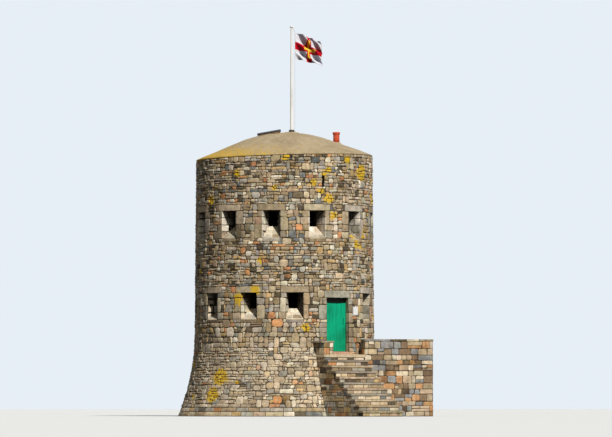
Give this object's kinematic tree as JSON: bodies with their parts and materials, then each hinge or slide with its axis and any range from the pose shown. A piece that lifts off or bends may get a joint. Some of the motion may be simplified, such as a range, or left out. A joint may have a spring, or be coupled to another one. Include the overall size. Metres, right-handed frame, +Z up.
{
  "type": "loophole tower",
  "caption": "Round stone tower with a battered foot, two rows of splayed loopholes, a first-floor door on an outside stair, a rendered domed roof and a flagpole.",
  "frame": {"origin": "on the tower's axis at the level of its foot", "axes": "+Z up, -Y is the side with the door, +X to the right for someone facing the door"},
  "size_m": [7.3865, 9.3233, 13.54],
  "materials": {
    "rubble": "matte",
    "dressed_stone": "matte",
    "render": "matte",
    "clay": "matte",
    "door_paint": "satin",
    "timber": "matte",
    "iron": "satin",
    "plate_paint": "satin",
    "pole_wood": "satin",
    "rope": "matte",
    "bunting": "matte",
    "lead": "matte"
  },
  "bodies": {
    "tower": {"base_wall_back": "rubble", "base_wall_left": "rubble", "base_wall_right": "rubble", "cheek_coping": "dressed_stone", "cheek_wall": "rubble", "chimney_pot": "clay", "door_lintel": "dressed_stone", "door_pintles": "iron", "entrance_boards": "timber", "entrance_joists": "timber", "entrance_wall_back": "rubble", "entrance_wall_left": "rubble", "entrance_wall_right": "rubble", "flag": "bunting", "flagpole": "pole_wood", "foot_course": "rubble", "halyard": "rope", "hatch_kerb": "timber", "hatch_lid": "lead", "inner_lintel": "timber", "landing": "dressed_stone", "lower_lintels": "dressed_stone", "lower_piers": "rubble", "lower_sills": "dressed_stone", "middle_wall_back": "rubble", "middle_wall_left": "rubble", "middle_wall_right": "rubble", "pole_collar": "iron", "pole_plinth": "render", "roof_cap": "render", "stair_body": "rubble", "threshold": "dressed_stone", "top_wall_back": "rubble", "top_wall_left": "rubble", "top_wall_right": "rubble", "treads": "dressed_stone", "upper_boards": "timber", "upper_joists": "timber", "upper_lintels": "dressed_stone", "upper_piers": "rubble", "upper_sills": "dressed_stone", "wall_plate": "plate_paint", "wing_coping": "dressed_stone", "wing_wall": "rubble"},
    "door": {"door_leaf": "door_paint", "strap_hinges": "iron", "door_handle": "iron"}
  },
  "joints": [
    {"name": "door_hinge", "type": "hinge", "parent": "tower", "child": "door", "pos_m": [-0.492, -2.786, 2.22], "axis": [0, 0, 1], "range_deg": [0, 90]}
  ]
}
